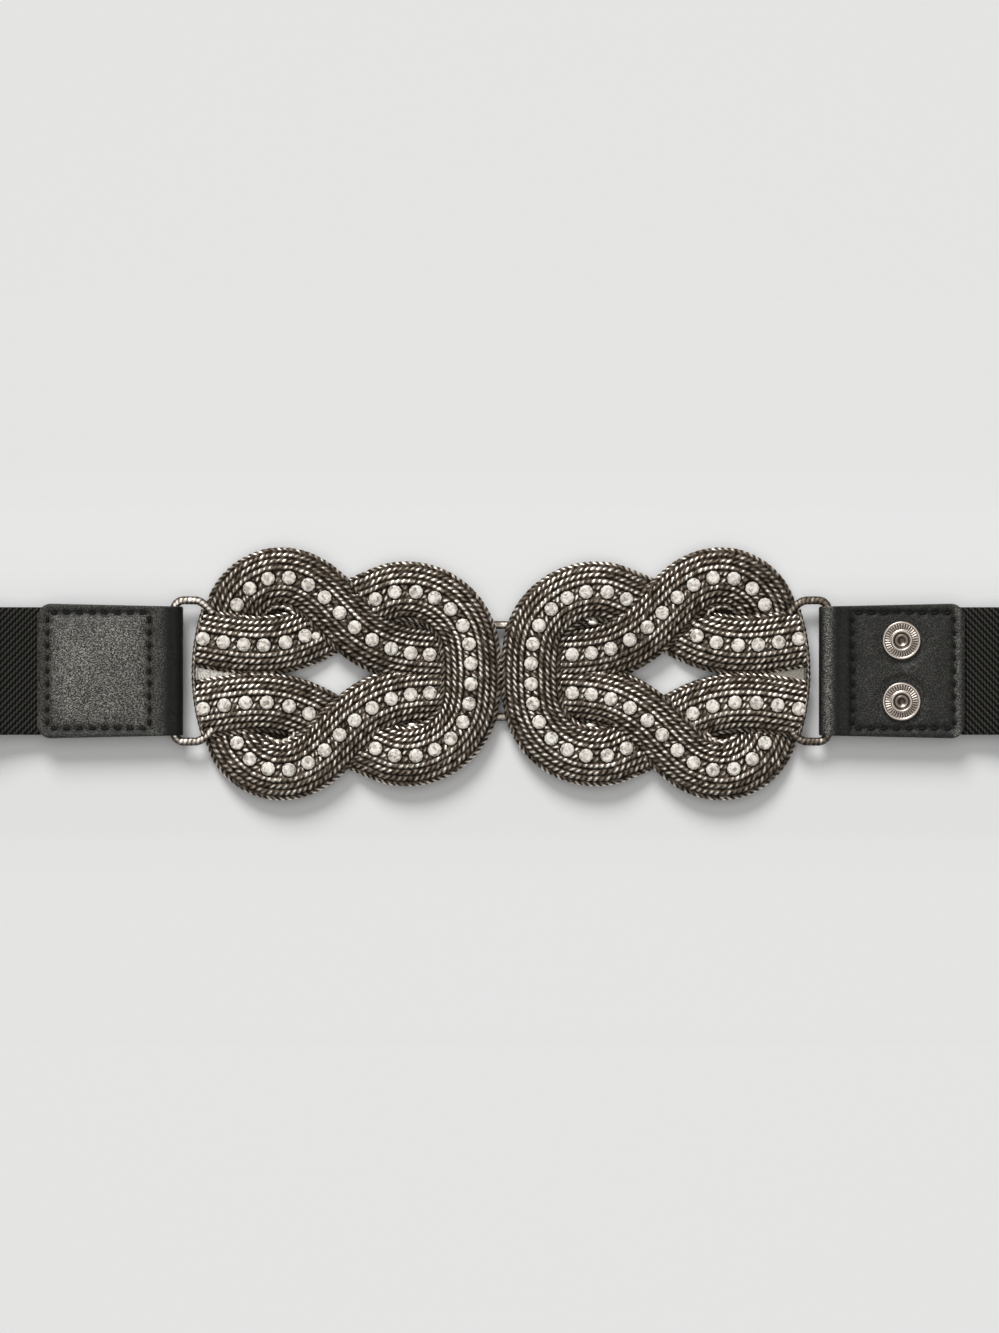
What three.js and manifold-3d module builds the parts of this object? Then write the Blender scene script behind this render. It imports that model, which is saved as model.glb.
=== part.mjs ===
import * as THREE from 'three';
import { mergeVertices } from 'three/addons/utils/BufferGeometryUtils.js';
import Module from 'manifold-3d';

const wasm = await Module();
wasm.setup();

// A stretch belt with its buckle fastened, lying face up and folded flat.
// Millimetres. +X runs along the belt, +Y is its upper edge as worn, +Z is the face.
// The origin is under the middle of the buckle, on the surface that the belt lies on.

// Driving dimensions
const GAP = 0.3;
const MID_Z = 7.0;
const ELASTIC = { width: 38.3, thick: 1.6, reach: 180, foldRadius: 5.8, end: 104 };
const LEATHER = 1.2;
const TAB = { width: 40.4, foldWidth: 38.8, end: 139, corner: 4, foldRadius: 2.2 };
const RING = { wire: 2.4, barX: 98.2, halfHeight: 21.2, innerX: 87, corner: 1.8, z: 7.0 };
const BAND = { width: 17.4, thick: 4.2, edge: 1.7, shoulder: 3.5, groove: 4.9, grooveFloor: 3.1 };
const LOW_Z = 2.0;
const HIGH_Z = 5.0;
const STONE = { radius: 2.02, table: 1.25, height: 1.5 };
const STRIP = { width: 1.4, thick: 0.5, lift: 0.2 };
const STEP = 4.8;
const LINK = { wire: 2.0, halfLength: 9, halfHeight: 13.8, corner: 2, z: 4.2 };
const LUG = { width: 4, halfLength: 2.6, y: 7, bottom: 2.3, top: 6.4 };
const HOOK = { width: 10, postX: 5.4, postEnd: 7.3, footEnd: 12.2, bottom: 1.9, footTop: 2.9, top: 6.6 };
const PLATE = { innerX: 73, outerX: 91.2, halfHeight: 9, bottom: 5.0, top: 7.4 };
const EDGE_WIRE = { radius: 0.9, arcRadius: 62, outerX: 92.4, halfHeight: 18.6, z: 7.1 };
const SNAP = { x: 120, y: 9.15, cap: 5.8, post: 1.9, back: 5, backThick: 1.3 };

const UP = new THREE.Vector3(0, 0, 1);
const SIDES = { left: -1, right: 1 };

// Stations of the strands, with x measured out from the joint between the halves and y
// from the middle line. Level 0 is the low layer of the knot and level 1 the high one.

// Upper arm of the outer strand, from the loop out to the ring
const ARM = [
  { x: 45.0, y: 19.2, level: 0.1 },
  { x: 51.5, y: 15.4, level: 0.0 },
  { x: 57.5, y: 12.0, level: 0.25 },
  { x: 64.0, y: 9.7, level: 0.7 },
  { x: 70.3, y: 8.9, level: 1.0 },
  { x: 77.0, y: 9.1, level: 1.0 },
  { x: 83.5, y: 9.7, level: 1.0 },
  { x: 91.0, y: 10.5, level: 1.0 },
];

// The loop of the outer strand is an arc about this centre
const LOOP_ARC = { x: 28.5, y: 5.5, radius: 19.3, from: 60, to: 180, step: 20 };
const LOOP_LEVEL = { 60: 0.6, 80: 0.95 };

// Upper curled strand, from under the loop along the diagonal, round its curl and back
// under the arm
const CURLED = [
  { x: 16.5, y: 5.6, level: 0.0 },
  { x: 22.0, y: 5.8, level: 0.0 },
  { x: 27.5, y: 6.3, level: 0.2 },
  { x: 33.4, y: 7.7, level: 0.55 },
  { x: 39.0, y: 10.4, level: 0.9 },
  { x: 44.2, y: 14.2, level: 1.0 },
  { x: 48.6, y: 18.5, level: 1.0 },
  { x: 53.0, y: 23.0, level: 1.0 },
  { x: 58.0, y: 26.8, level: 0.95 },
  { x: 63.5, y: 28.8, level: 0.95 },
  { x: 69.5, y: 28.6, level: 0.85 },
  { x: 75.0, y: 25.9, level: 0.65 },
  { x: 79.0, y: 21.2, level: 0.35 },
  { x: 80.7, y: 14.8, level: 0.0 },
  { x: 79.0, y: 9.0, level: 0.0 },
];

// Rows of stones: the strand each lies on, where its first and last stone sit and
// how many there are
const ROWS = [
  { name: 'loop', strand: 'outer', first: [37.2, 22.8], last: [37.2, -22.8], count: 16 },
  { name: 'curl_upper', strand: 'upper', first: [21.4, 5.8], last: [79.0, 21.2], count: 12 },
  { name: 'curl_lower', strand: 'lower', first: [21.4, -5.8], last: [79.0, -21.2], count: 12 },
  { name: 'bar_upper', strand: 'outer', first: [89.4, 10.3], last: [57.8, 11.9], count: 6 },
  { name: 'bar_lower', strand: 'outer', first: [57.8, -11.9], last: [89.4, -10.3], count: 6 },
];

const MATERIALS = {
  elastic: new THREE.MeshStandardMaterial({ color: 0x242320, roughness: 0.9, metalness: 0 }),
  leather: new THREE.MeshStandardMaterial({ color: 0x3f3f3b, roughness: 0.55, metalness: 0 }),
  antiqueMetal: new THREE.MeshStandardMaterial({ color: 0x7a7167, roughness: 0.35, metalness: 1 }),
  nickel: new THREE.MeshStandardMaterial({ color: 0xb9b3ab, roughness: 0.3, metalness: 1 }),
  stone: new THREE.MeshStandardMaterial({ color: 0xe4e1dc, roughness: 0.1, metalness: 0 }),
};

// Booleans
function toSolid(geometry) {
  const bare = geometry.index ? geometry.toNonIndexed() : geometry.clone();
  bare.deleteAttribute('normal');
  bare.deleteAttribute('uv');
  const merged = mergeVertices(bare, 1e-4);
  return new wasm.Manifold(new wasm.Mesh({
    numProp: 3,
    vertProperties: new Float32Array(merged.attributes.position.array),
    triVerts: new Uint32Array(merged.index.array),
  }));
}

function toGeometry(solid) {
  const mesh = solid.getMesh();
  const geometry = new THREE.BufferGeometry();
  geometry.setAttribute('position', new THREE.BufferAttribute(mesh.vertProperties, 3));
  geometry.setIndex(new THREE.BufferAttribute(mesh.triVerts, 1));
  return geometry;
}

function join(geometries) {
  return geometries.map(toSolid).reduce((whole, part) => whole.add(part));
}

function degrees(angle) {
  return THREE.MathUtils.degToRad(angle);
}

function onArc(arc, angle) {
  return {
    x: arc.x + arc.radius * Math.cos(degrees(angle)),
    y: arc.y + arc.radius * Math.sin(degrees(angle)),
  };
}

// A block between two corners
function block(low, high) {
  const geometry = new THREE.BoxGeometry(high[0] - low[0], high[1] - low[1], high[2] - low[2]);
  return geometry.translate((low[0] + high[0]) / 2, (low[1] + high[1]) / 2, (low[2] + high[2]) / 2);
}

// Strip of even thickness about a line of [x, z] points, cut square at its ends and
// as wide as width along Y
function strip(line, thick, width) {
  const points = line.map(([x, z]) => new THREE.Vector2(x, z));
  const edge = (side) => points.map((point, index) => {
    const before = points[Math.max(index - 1, 0)];
    const after = points[Math.min(index + 1, points.length - 1)];
    const along = after.clone().sub(before).normalize();
    const offset = side * thick / 2;
    return new THREE.Vector2(point.x - offset * along.y, point.y + offset * along.x);
  });
  const outline = new THREE.Shape([...edge(1), ...edge(-1).reverse()]);
  const geometry = new THREE.ExtrudeGeometry(outline, { depth: width, bevelEnabled: false });
  return geometry.rotateX(Math.PI / 2).translate(0, width / 2, 0);
}

// Arc of [x, z] points in the plane of the belt's length
function arcLine(x, z, radius, from, to, steps) {
  const points = [];
  for (let i = 0; i <= steps; i += 1) {
    const angle = degrees(from + (to - from) * i / steps);
    points.push([x + radius * Math.cos(angle), z + radius * Math.sin(angle)]);
  }
  return points;
}

// Smooth rise from one [x, z] to another, level at both ends
function rise(start, end, steps) {
  const points = [];
  for (let i = 1; i < steps; i += 1) {
    const share = i / steps;
    const eased = (1 - Math.cos(Math.PI * share)) / 2;
    points.push([
      THREE.MathUtils.lerp(start[0], end[0], share),
      THREE.MathUtils.lerp(start[1], end[1], eased),
    ]);
  }
  return points;
}

// Elastic: front ends inside the tabs, a round fold at each side, the back run below
function elasticLine() {
  const foldX = ELASTIC.reach - ELASTIC.foldRadius - ELASTIC.thick / 2;
  const backZ = ELASTIC.thick / 2;
  const foldZ = backZ + ELASTIC.foldRadius;
  const topZ = foldZ + ELASTIC.foldRadius;
  const half = [
    [ELASTIC.end, MID_Z],
    [TAB.end, MID_Z],
    ...rise([TAB.end, MID_Z], [foldX, topZ], 6),
    ...arcLine(foldX, foldZ, ELASTIC.foldRadius, 90, -90, 10),
  ];
  const mirrored = half.map(([x, z]) => [-x, z]).reverse();
  return [...half, ...mirrored];
}

// Tab: two leaves of leather joined by a fold round the ring's bar
function tabLine(side) {
  const leafOffset = ELASTIC.thick / 2 + GAP + LEATHER / 2;
  const settled = RING.barX + 6;
  const leaf = (sign) => [
    [TAB.end, MID_Z + sign * leafOffset],
    [settled, MID_Z + sign * leafOffset],
    ...rise([settled, MID_Z + sign * leafOffset], [RING.barX, MID_Z + sign * TAB.foldRadius], 3),
  ];
  const fold = arcLine(RING.barX, MID_Z, TAB.foldRadius, 90, 270, 8);
  const line = [...leaf(1), ...fold, ...leaf(-1).reverse()];
  return line.map(([x, z]) => [side * x, z]);
}

function tabOutline(side) {
  const inner = RING.barX - TAB.foldRadius - LEATHER;
  const outline = new THREE.Shape();
  outline.moveTo(inner, -TAB.foldWidth / 2);
  outline.lineTo(TAB.end - TAB.corner, -TAB.width / 2);
  outline.absarc(TAB.end - TAB.corner, -TAB.width / 2 + TAB.corner, TAB.corner, -Math.PI / 2, 0);
  outline.absarc(TAB.end - TAB.corner, TAB.width / 2 - TAB.corner, TAB.corner, 0, Math.PI / 2);
  outline.lineTo(inner, TAB.foldWidth / 2);
  const options = { depth: 2 * MID_Z, bevelEnabled: false, curveSegments: 3 };
  const geometry = new THREE.ExtrudeGeometry(outline, options);
  return side > 0 ? geometry : geometry.rotateZ(Math.PI);
}

function snapAt(y, outline) {
  const geometry = new THREE.LatheGeometry(outline.map(([r, z]) => new THREE.Vector2(r, z)), 16);
  return geometry.rotateX(Math.PI / 2).translate(SNAP.x, y, MID_Z);
}

// Snap: cap over the upper leaf, post through the layers, flat back under the lower leaf
function snapGeometry(y) {
  const skin = ELASTIC.thick / 2 + GAP + LEATHER + GAP;
  return snapAt(y, [
    [0, -skin - SNAP.backThick],
    [SNAP.back, -skin - SNAP.backThick],
    [SNAP.back, -skin],
    [SNAP.post, -skin],
    [SNAP.post, skin],
    [SNAP.cap, skin],
    [SNAP.cap, skin + 0.7],
    [SNAP.cap - 0.8, skin + 1.3],
    [2.9, skin + 1.0],
    [2.6, skin + 1.9],
    [1.6, skin + 1.9],
    [1.3, skin + 1.0],
    [0, skin + 1.0],
  ]);
}

function snapHole(y) {
  const half = MID_Z - 1;
  const radius = SNAP.post + GAP;
  return toSolid(snapAt(y, [[0, -half], [radius, -half], [radius, half], [0, half]]));
}

// Middle line of a strand, whose frames keep level across so that the band never rolls
class StrandCurve extends THREE.CatmullRomCurve3 {
  computeFrenetFrames(segments) {
    const frames = { tangents: [], normals: [], binormals: [] };
    for (let i = 0; i <= segments; i += 1) {
      const tangent = this.getTangentAt(i / segments);
      const across = new THREE.Vector3().crossVectors(tangent, UP).normalize();
      frames.tangents.push(tangent);
      frames.binormals.push(across);
      frames.normals.push(new THREE.Vector3().crossVectors(across, tangent));
    }
    return frames;
  }
}

function levelZ(level) {
  return THREE.MathUtils.lerp(LOW_Z, HIGH_Z, level);
}

function loopRows() {
  const rows = [];
  for (let angle = LOOP_ARC.from; angle <= LOOP_ARC.to; angle += LOOP_ARC.step) {
    rows.push({ ...onArc(LOOP_ARC, angle), level: LOOP_LEVEL[angle] ?? 1 });
  }
  return rows;
}

function flipped(rows) {
  return rows.map((row) => ({ ...row, y: -row.y }));
}

// Outer strand: upper arm, loop round the joint, lower arm. The curled ones: upper, lower.
function strand(name, side) {
  const upperHalf = [...[...ARM].reverse(), ...loopRows()];
  const rows = {
    outer: [...upperHalf, ...flipped(upperHalf).reverse()],
    upper: CURLED,
    lower: flipped(CURLED),
  }[name];
  return new StrandCurve(rows.map((row) => new THREE.Vector3(side * row.x, row.y, levelZ(row.level))));
}

// Section of a band: low edges, sloped shoulders and a groove for the stones
function bandSection() {
  const half = BAND.width / 2;
  const outline = [
    [0, -half],
    [BAND.edge, -half],
    [BAND.shoulder, -half * 0.68],
    [BAND.thick, -BAND.groove / 2],
    [BAND.grooveFloor, -BAND.groove / 2],
    [BAND.grooveFloor, BAND.groove / 2],
    [BAND.thick, BAND.groove / 2],
    [BAND.shoulder, half * 0.68],
    [BAND.edge, half],
    [0, half],
  ];
  return new THREE.Shape(outline.map(([height, across]) => new THREE.Vector2(height, across)));
}

function sweep(section, curve, spacing) {
  const steps = Math.round(curve.getLength() / spacing);
  return new THREE.ExtrudeGeometry(section, { steps, extrudePath: curve });
}

// Frame of wire round a rectangle with rounded corners, flat in the plane of the belt
function wireFrame(halfLength, halfHeight, corner, wire) {
  const chamfer = wire * 0.29;
  const roundedRectangle = (path, inset) => {
    const x = halfLength - inset;
    const y = halfHeight - inset;
    const r = corner - inset;
    path.moveTo(x, y - r);
    path.absarc(x - r, y - r, r, 0, Math.PI / 2);
    path.absarc(-x + r, y - r, r, Math.PI / 2, Math.PI);
    path.absarc(-x + r, -y + r, r, Math.PI, 1.5 * Math.PI);
    path.absarc(x - r, -y + r, r, 1.5 * Math.PI, 2 * Math.PI);
    return path;
  };
  const outline = roundedRectangle(new THREE.Shape(), chamfer - wire / 2);
  outline.holes.push(roundedRectangle(new THREE.Path(), wire / 2 - chamfer));
  const options = {
    depth: wire - 2 * chamfer,
    bevelThickness: chamfer,
    bevelSize: chamfer,
    bevelSegments: 1,
    curveSegments: 2,
  };
  return new THREE.ExtrudeGeometry(outline, options).translate(0, 0, chamfer - wire / 2);
}

function ringGeometry(side) {
  const halfLength = (RING.barX - RING.innerX) / 2;
  const ring = wireFrame(halfLength, RING.halfHeight, RING.corner, RING.wire);
  return ring.translate(side * (RING.barX + RING.innerX) / 2, 0, RING.z);
}

function linkGeometry(wire) {
  return wireFrame(LINK.halfLength, LINK.halfHeight, LINK.corner, wire).translate(0, 0, LINK.z);
}

// Twisted wire along the outer end of a half
function edgeWire(side) {
  const centreX = EDGE_WIRE.outerX - EDGE_WIRE.arcRadius;
  const reach = Math.asin(EDGE_WIRE.halfHeight / EDGE_WIRE.arcRadius);
  const points = [-1, -0.5, 0, 0.5, 1].map((share) => new THREE.Vector3(
    side * (centreX + EDGE_WIRE.arcRadius * Math.cos(share * reach)),
    EDGE_WIRE.arcRadius * Math.sin(share * reach),
    EDGE_WIRE.z,
  ));
  const section = new THREE.Shape().absarc(0, 0, EDGE_WIRE.radius, 0, 2 * Math.PI);
  const options = { steps: 8, curveSegments: 3, extrudePath: new StrandCurve(points) };
  return new THREE.ExtrudeGeometry(section, options);
}

function mirroredBlock(low, high, side) {
  const xs = [side * low[0], side * high[0]].sort((a, b) => a - b);
  return block([xs[0], low[1], low[2]], [xs[1], high[1], high[2]]);
}

// What a half carries underneath for the link: lugs on the left, a hook on the right
function lugs(side) {
  const x = LINK.halfLength;
  return [LUG.y, -LUG.y].map((y) => mirroredBlock(
    [x - LUG.halfLength, y - LUG.width / 2, LUG.bottom],
    [x + LUG.halfLength, y + LUG.width / 2, LUG.top],
    side,
  ));
}

function hook(side) {
  const half = HOOK.width / 2;
  return [
    mirroredBlock([HOOK.postX, -half, HOOK.bottom], [HOOK.postEnd, half, HOOK.top], side),
    mirroredBlock([HOOK.postX, -half, HOOK.bottom], [HOOK.footEnd, half, HOOK.footTop], side),
  ];
}

// One cast half of the buckle with its ring and what holds the link
function knotGeometry(side) {
  const section = bandSection();
  const plate = mirroredBlock(
    [PLATE.innerX, -PLATE.halfHeight, PLATE.bottom],
    [PLATE.outerX, PLATE.halfHeight, PLATE.top],
    side,
  );
  const solid = join([
    sweep(section, strand('outer', side), STEP),
    sweep(section, strand('upper', side), STEP),
    sweep(section, strand('lower', side), STEP),
    plate,
    edgeWire(side),
    ringGeometry(side),
    ...(side < 0 ? lugs(side) : hook(side)),
  ]);
  return toGeometry(solid.subtract(toSolid(linkGeometry(LINK.wire + 2 * GAP))));
}

function nearestShare(curve, x, y) {
  const samples = 600;
  let best = { share: 0, distance: Infinity };
  for (let i = 0; i <= samples; i += 1) {
    const point = curve.getPointAt(i / samples);
    const distance = Math.hypot(point.x - x, point.y - y);
    if (distance < best.distance) {
      best = { share: i / samples, distance };
    }
  }
  return best.share;
}

function stoneAt(curve, share) {
  const tangent = curve.getTangentAt(share);
  const across = new THREE.Vector3().crossVectors(tangent, UP).normalize();
  const normal = new THREE.Vector3().crossVectors(across, tangent);
  const seat = curve.getPointAt(share).addScaledVector(normal, BAND.grooveFloor + GAP);
  const stone = new THREE.CylinderGeometry(STONE.table, STONE.radius, STONE.height, 6);
  stone.rotateX(Math.PI / 2).translate(0, 0, STONE.height / 2);
  return stone.applyMatrix4(new THREE.Matrix4().makeBasis(tangent, across.negate(), normal).setPosition(seat));
}

// A row of stones joined by the thin strip that they are set on
function stoneRowGeometry(row, side) {
  const curve = strand(row.strand, side);
  const start = nearestShare(curve, side * row.first[0], row.first[1]);
  const end = nearestShare(curve, side * row.last[0], row.last[1]);
  const shares = [];
  for (let i = 0; i < row.count; i += 1) {
    shares.push(THREE.MathUtils.lerp(start, end, i / (row.count - 1)));
  }
  const low = BAND.grooveFloor + GAP + STRIP.lift;
  const half = STRIP.width / 2;
  const section = new THREE.Shape([
    new THREE.Vector2(low, -half),
    new THREE.Vector2(low + STRIP.thick, -half),
    new THREE.Vector2(low + STRIP.thick, half),
    new THREE.Vector2(low, half),
  ]);
  const route = new StrandCurve(shares.map((share) => curve.getPointAt(share)));
  const setting = new THREE.ExtrudeGeometry(section, { steps: row.count - 1, extrudePath: route });
  return toGeometry(join([setting, ...shares.map((share) => stoneAt(curve, share))]));
}

// Assembly
const belt = new THREE.Group();

function addPiece(name, geometry, material) {
  const mesh = new THREE.Mesh(geometry, material);
  mesh.name = name;
  belt.add(mesh);
}

const snapHoles = [SNAP.y, -SNAP.y].map(snapHole);

let elastic = toSolid(strip(elasticLine(), ELASTIC.thick, ELASTIC.width));
snapHoles.forEach((hole) => {
  elastic = elastic.subtract(hole);
});
addPiece('elastic_band', toGeometry(elastic), MATERIALS.elastic);

for (const [name, side] of Object.entries(SIDES)) {
  let tab = toSolid(strip(tabLine(side), LEATHER, TAB.width)).intersect(toSolid(tabOutline(side)));
  if (side > 0) {
    snapHoles.forEach((hole) => {
      tab = tab.subtract(hole);
    });
  }
  addPiece(`${name}_tab`, toGeometry(tab), MATERIALS.leather);
  addPiece(`${name}_knot`, knotGeometry(side), MATERIALS.antiqueMetal);
  for (const row of ROWS) {
    addPiece(`${name}_stones_${row.name}`, stoneRowGeometry(row, side), MATERIALS.stone);
  }
}

addPiece('clasp_loop', linkGeometry(LINK.wire), MATERIALS.antiqueMetal);
addPiece('snap_upper', snapGeometry(SNAP.y), MATERIALS.nickel);
addPiece('snap_lower', snapGeometry(-SNAP.y), MATERIALS.nickel);

export default belt;
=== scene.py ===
import math
import random

import bmesh
import bpy
import numpy as np
from mathutils import Matrix, Vector


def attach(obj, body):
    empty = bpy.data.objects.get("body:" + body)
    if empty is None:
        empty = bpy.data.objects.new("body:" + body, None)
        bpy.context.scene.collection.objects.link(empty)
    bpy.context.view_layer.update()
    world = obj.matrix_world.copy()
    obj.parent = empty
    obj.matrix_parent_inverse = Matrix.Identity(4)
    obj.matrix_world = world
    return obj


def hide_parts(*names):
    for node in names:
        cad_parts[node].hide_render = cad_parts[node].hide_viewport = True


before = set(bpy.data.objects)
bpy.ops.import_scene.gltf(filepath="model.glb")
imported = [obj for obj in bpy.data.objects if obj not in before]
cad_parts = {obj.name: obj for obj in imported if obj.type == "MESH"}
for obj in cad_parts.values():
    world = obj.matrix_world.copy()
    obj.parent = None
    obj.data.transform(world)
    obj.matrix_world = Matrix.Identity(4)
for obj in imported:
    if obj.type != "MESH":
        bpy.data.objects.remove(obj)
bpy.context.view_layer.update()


# Camera
# The photo looks straight down on the buckle, with the belt's upper edge towards the top of the
# picture. The lens is long, so that no side of the buckle shows.
MM = 0.001
PICTURE_SIZE = (999, 1333)
PIXEL = 0.3 * MM
SENSOR_WIDTH = 36
CAMERA_HEIGHT = 1.5
BUCKLE_TOP = 8 * MM
VIEW_CENTRE = (-0.45 * MM, 1.35 * MM)

camera_data = bpy.data.cameras.new("camera")
camera_data.sensor_width = SENSOR_WIDTH
camera_data.lens = SENSOR_WIDTH * (CAMERA_HEIGHT - BUCKLE_TOP) / (PICTURE_SIZE[1] * PIXEL)
camera = bpy.data.objects.new("camera", camera_data)
camera.location = (*VIEW_CENTRE, CAMERA_HEIGHT)
bpy.context.scene.collection.objects.link(camera)
bpy.context.scene.camera = camera
bpy.context.scene.view_settings.view_transform = "Standard"


# Floor
# A plain pale table. Like the photo's ground, which shows through the buckle, a pale sheet of
# card lies inside the loop, between its back run and the buckle, and runs out into the table.
FLOOR_SIZE = 6.0
CARD_HALF_LENGTH = 180 * MM
CARD_HALF_HEIGHT = 130 * MM
CARD_CELLS = (90, 130)
CARD_SINK = 0.3 * MM
CARD_HEIGHTS = [
    # distance from the belt's middle line, height
    (0, 1.75 * MM), (20 * MM, 1.75 * MM), (28 * MM, 1.55 * MM), (50 * MM, 0.35 * MM),
    (60 * MM, 0.15 * MM), (110 * MM, 0.03 * MM), (130 * MM, -0.3 * MM),
]
CARD_SHARES = [
    # distance from the joint, share of the height that is left
    (0, 1.0), (150 * MM, 1.0), (156 * MM, 0.9), (163 * MM, 0.5), (170 * MM, 0.1), (176 * MM, 0.0),
]


def linear(hex_colour):
    """sRGB hex, such as #e3e3e3, as a linear colour for a shader."""
    values = [int(hex_colour[i:i + 2], 16) / 255 for i in (1, 3, 5)]
    return (*[v / 12.92 if v <= 0.04045 else ((v + 0.055) / 1.055) ** 2.4 for v in values], 1.0)


def add(tree, kind, inputs=None, **settings):
    """A new node: settings are its own, inputs gives each socket a value or a link."""
    node = tree.nodes.new(kind)
    for name, value in settings.items():
        setattr(node, name, value)
    for socket, value in (inputs or {}).items():
        if isinstance(value, bpy.types.NodeSocket):
            tree.links.new(value, node.inputs[socket])
        else:
            node.inputs[socket].default_value = value
    return node


def new_material(name):
    """An empty material, its node tree and its Principled shader."""
    material = bpy.data.materials.new(name)
    material.use_nodes = True
    return material, material.node_tree, material.node_tree.nodes["Principled BSDF"]


def show(bm, name, material):
    """The finished mesh as an object at the origin."""
    mesh = bpy.data.meshes.new(name)
    bm.to_mesh(mesh)
    bm.free()
    mesh.materials.append(material)
    piece = bpy.data.objects.new(name, mesh)
    bpy.context.scene.collection.objects.link(piece)
    return piece


# Matt paper: even, with no gloss
paper, paper_tree, paper_shader = new_material("matt_paper")
paper_shader.inputs["Base Color"].default_value = linear("#e8e8e8")
paper_shader.inputs["Roughness"].default_value = 0.95
paper_shader.inputs["Specular IOR Level"].default_value = 0.1

bm = bmesh.new()
bmesh.ops.create_grid(bm, x_segments=1, y_segments=1, size=FLOOR_SIZE / 2)
floor = show(bm, "floor", paper)

bm = bmesh.new()
bmesh.ops.create_grid(bm, x_segments=CARD_CELLS[0], y_segments=CARD_CELLS[1], size=1)
bmesh.ops.scale(bm, vec=(CARD_HALF_LENGTH, CARD_HALF_HEIGHT, 1), verts=bm.verts)
for vert in bm.verts:
    height = np.interp(abs(vert.co.y), *zip(*CARD_HEIGHTS)) + CARD_SINK
    vert.co.z = height * np.interp(abs(vert.co.x), *zip(*CARD_SHARES)) - CARD_SINK
card = show(bm, "card", paper)
card.data.shade_smooth()


# Lights
# One broad soft light beyond the belt's upper edge and a little to the left, which throws the
# short soft shadow below everything as in the photo, a wide softbox overhead for the metal, and
# a pale room. Angles are in degrees.
KEY_ELEVATION = 37.5
KEY_TURN = 15
KEY_SOFTNESS = 24
KEY_STRENGTH = 2.46
SOFTBOX_SIZE = 2.2
SOFTBOX_HEIGHT = 2.0
SOFTBOX_POWER = 16
ROOM_STRENGTH = 0.23

key_data = bpy.data.lights.new("key", "SUN")
key_data.energy = KEY_STRENGTH
key_data.angle = math.radians(KEY_SOFTNESS)
key = bpy.data.objects.new("key", key_data)
key.rotation_euler = (math.radians(KEY_ELEVATION - 90), 0, math.radians(KEY_TURN))
bpy.context.scene.collection.objects.link(key)

softbox_data = bpy.data.lights.new("softbox", "AREA")
softbox_data.size = SOFTBOX_SIZE
softbox_data.energy = SOFTBOX_POWER
softbox = bpy.data.objects.new("softbox", softbox_data)
softbox.location = (0, 0, SOFTBOX_HEIGHT)
bpy.context.scene.collection.objects.link(softbox)

room = bpy.data.worlds.new("pale_room")
room.use_nodes = True
room.node_tree.nodes["Background"].inputs["Color"].default_value = linear("#f1efec")
room.node_tree.nodes["Background"].inputs["Strength"].default_value = ROOM_STRENGTH
bpy.context.scene.world = room


# Elastic band
# The belt itself: heavy black elastic webbing, 38 mm wide, woven in a twill with a firm edge.
# It runs from tab to tab round the back as one strip, folded flat with a round fold at each end.
# Sizes without MM are in millimetres, here and in the sections below.
MID_Z = 7.0
ELASTIC_WIDTH = 38.3
ELASTIC_THICK = 1.6
ELASTIC_REACH = 180
ELASTIC_END = 104
FOLD_RADIUS = 5.8
TAB_END = 139
WEB_EDGE_ROUNDING = 0.5
TWILL_PITCH = 2.05 * MM
THREAD_PITCH = 0.88 * MM
THREAD_RELIEF = 0.35
FUZZ_PER_MM = 2.6
FUZZ_RELIEF = 0.35
TWILL_DEPTH = 0.25 * MM

# A Mix node's sockets share their names, so these are the numbers of the ones for colours
COLOUR_A, COLOUR_B, MIXED_COLOUR = 6, 7, 2


def arc(x, z, radius, start, end, steps):
    """Points on an arc in the plane of the belt's length, angles in degrees."""
    angles = [math.radians(start + (end - start) * i / steps) for i in range(steps + 1)]
    return [(x + radius * math.cos(a), z + radius * math.sin(a)) for a in angles]


def rise(start, end, steps):
    """Smooth change of height between two points, level at both ends, without the ends."""
    points = []
    for i in range(1, steps):
        share = i / steps
        eased = (1 - math.cos(math.pi * share)) / 2
        x = start[0] + (end[0] - start[0]) * share
        points.append((x, start[1] + (end[1] - start[1]) * eased))
    return points


def evenly(start, end, spacing):
    """Points on a straight stretch, with its start and without its end."""
    steps = max(1, round(math.dist(start, end) / spacing))
    return [tuple(np.add(start, np.subtract(end, start) * i / steps)) for i in range(steps)]


def strip_section(width, thick, spacing, rounding):
    """Closed outline of a strip's section: outer face, rounded edge, inner face, rounded edge."""
    half = width / 2
    flat = half - rounding
    count = max(2, round(2 * flat / spacing))
    face = [(-flat + 2 * flat * i / count, thick / 2) for i in range(count + 1)]
    depth = thick / 2
    round_edge = np.radians([30, 60, 90, 120, 150])
    edge = [(flat + rounding * math.sin(a), depth * math.cos(a)) for a in round_edge]
    turned = [(-y, -n) for y, n in face + edge]
    return face + edge + turned + face[:1]


def sweep_strip(line, section):
    """Grid of points: the section carried along a line of (x, z) points."""
    route = np.array(line)
    along = np.gradient(route, axis=0)
    along /= np.linalg.norm(along, axis=1)[:, None]
    outline = np.array(section)
    spots = np.zeros((len(route), len(outline), 3))
    spots[:, :, 0] = route[:, None, 0] - along[:, None, 1] * outline[None, :, 1]
    spots[:, :, 1] = outline[None, :, 0]
    spots[:, :, 2] = route[:, None, 1] + along[:, None, 0] * outline[None, :, 1]
    return spots


def along_route(route):
    """Distance from the start at each point of a route."""
    steps = np.linalg.norm(np.diff(np.array(route), axis=0), axis=1)
    return np.concatenate([[0], np.cumsum(steps)])


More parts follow.
